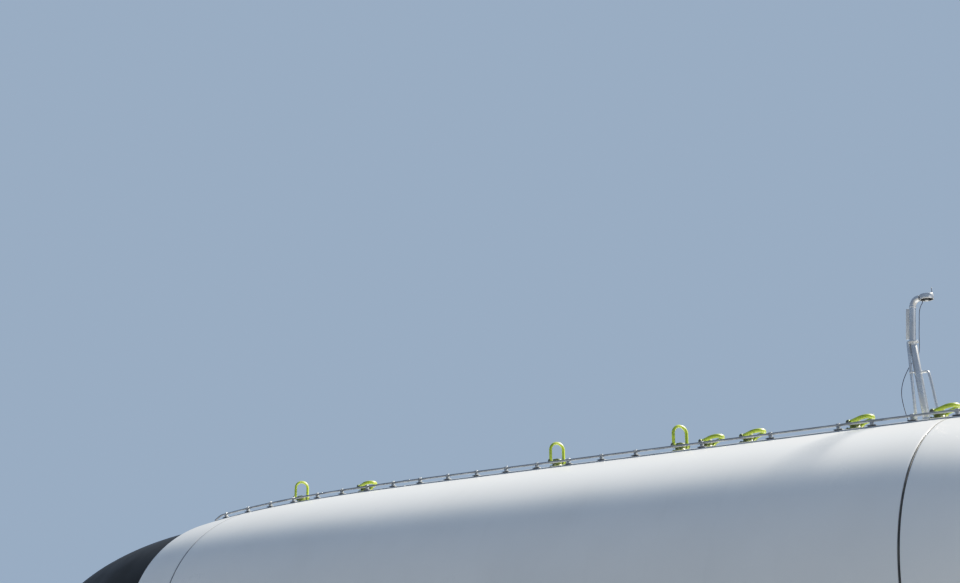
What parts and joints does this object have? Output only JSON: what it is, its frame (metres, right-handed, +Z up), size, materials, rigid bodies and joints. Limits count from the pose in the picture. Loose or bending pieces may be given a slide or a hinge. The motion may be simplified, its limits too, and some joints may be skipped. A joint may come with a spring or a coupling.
{
  "type": "wind turbine nacelle",
  "caption": "Tubular white wind turbine nacelle with a black domed rotor-end cover, yaw flange below, and roof rails, folding lifting rings and a sensor mast on top.",
  "frame": {"origin": "centre of the yaw flange's bottom face, on the yaw axis", "axes": "+Z up along the yaw axis, +X from the rotor end to the rear, +Y to the far side from the pictured one"},
  "size_m": [17.07, 4.2, 5.5463],
  "materials": {
    "shell": "white gelcoat on glass fibre laminate, satin gloss, light dust",
    "cover": "black coated cover, satin",
    "seal": "dark joint seal, matt",
    "cast_yaw": "grey painted casting",
    "rail_steel": "stainless tube, dull sheen",
    "rail_track": "weathered steel strip and clamps",
    "lifting_lime": "lime powder coat, worn at the edges",
    "sensor": "black moulded housing",
    "lead": "black cable sheath"
  },
  "bodies": {
    "root": {"front_section": "shell", "middle_section": "shell", "rear_section": "shell", "front_seam_seal": "seal", "rear_seam_seal": "seal", "nose_cover": "cover", "tail_panel": "shell", "yaw_flange": "cast_yaw", "yaw_ring": "cast_yaw", "yaw_collar": "shell", "near_rail_front": "rail_steel", "near_rail_track_front": "rail_track", "near_rail_rear": "rail_steel", "near_rail_track_rear": "rail_track", "far_rail_front": "rail_steel", "far_rail_track_front": "rail_track", "far_rail_rear": "rail_steel", "far_rail_track_rear": "rail_track", "lifting_ring_1_base": "lifting_lime", "lifting_ring_2_base": "lifting_lime", "lifting_ring_3_base": "lifting_lime", "lifting_ring_4_base": "lifting_lime", "lifting_ring_5_base": "lifting_lime", "lifting_ring_6_base": "lifting_lime", "lifting_ring_7_base": "lifting_lime", "lifting_ring_8_base": "lifting_lime", "mast_foot": "rail_steel", "mast_lower_tube": "rail_steel", "mast_knuckle": "rail_steel", "mast_upper_tube": "rail_steel", "mast_fin": "rail_steel", "mast_leg": "rail_steel", "mast_brace": "rail_steel", "sensor_ring": "rail_steel", "air_rod": "rail_steel", "wind_sensor": "sensor", "mast_lead": "lead"},
    "lifting_ring_1_bail_body": {"lifting_ring_1_bail": "lifting_lime"},
    "lifting_ring_2_bail_body": {"lifting_ring_2_bail": "lifting_lime"},
    "lifting_ring_3_bail_body": {"lifting_ring_3_bail": "lifting_lime"},
    "lifting_ring_4_bail_body": {"lifting_ring_4_bail": "lifting_lime"},
    "lifting_ring_5_bail_body": {"lifting_ring_5_bail": "lifting_lime"},
    "lifting_ring_6_bail_body": {"lifting_ring_6_bail": "lifting_lime"},
    "lifting_ring_7_bail_body": {"lifting_ring_7_bail": "lifting_lime"},
    "lifting_ring_8_bail_body": {"lifting_ring_8_bail": "lifting_lime"}
  },
  "joints": [
    {"name": "lifting_ring_1_fold", "type": "hinge", "parent": "root", "child": "lifting_ring_1_bail_body", "pos_m": [-3.29, -0.25, 4.13312], "axis": [0.5, 0.866, 0], "range_deg": [-80, 80]},
    {"name": "lifting_ring_2_fold", "type": "hinge", "parent": "root", "child": "lifting_ring_2_bail_body", "pos_m": [-2.06, -0.25, 4.17069], "axis": [0.342, 0.9397, 0], "range_deg": [-160, 0]},
    {"name": "lifting_ring_3_fold", "type": "hinge", "parent": "root", "child": "lifting_ring_3_bail_body", "pos_m": [1.14, -0.25, 4.18177], "axis": [0.5, 0.866, 0], "range_deg": [-80, 80]},
    {"name": "lifting_ring_4_fold", "type": "hinge", "parent": "root", "child": "lifting_ring_4_bail_body", "pos_m": [2.86, -0.25, 4.18177], "axis": [0.5, 0.866, 0], "range_deg": [-80, 80]},
    {"name": "lifting_ring_5_fold", "type": "hinge", "parent": "root", "child": "lifting_ring_5_bail_body", "pos_m": [3.21, -0.25, 4.18177], "axis": [0.342, 0.9397, 0], "range_deg": [-160, 0]},
    {"name": "lifting_ring_6_fold", "type": "hinge", "parent": "root", "child": "lifting_ring_6_bail_body", "pos_m": [3.72, -0.25, 4.18177], "axis": [0.342, 0.9397, 0], "range_deg": [-160, 0]},
    {"name": "lifting_ring_7_fold", "type": "hinge", "parent": "root", "child": "lifting_ring_7_bail_body", "pos_m": [4.96, -0.25, 4.18177], "axis": [0.342, 0.9397, 0], "range_deg": [-160, 0]},
    {"name": "lifting_ring_8_fold", "type": "hinge", "parent": "root", "child": "lifting_ring_8_bail_body", "pos_m": [5.85, -0.25, 4.18149], "axis": [0.342, 0.9397, 0], "range_deg": [-160, 0]}
  ]
}
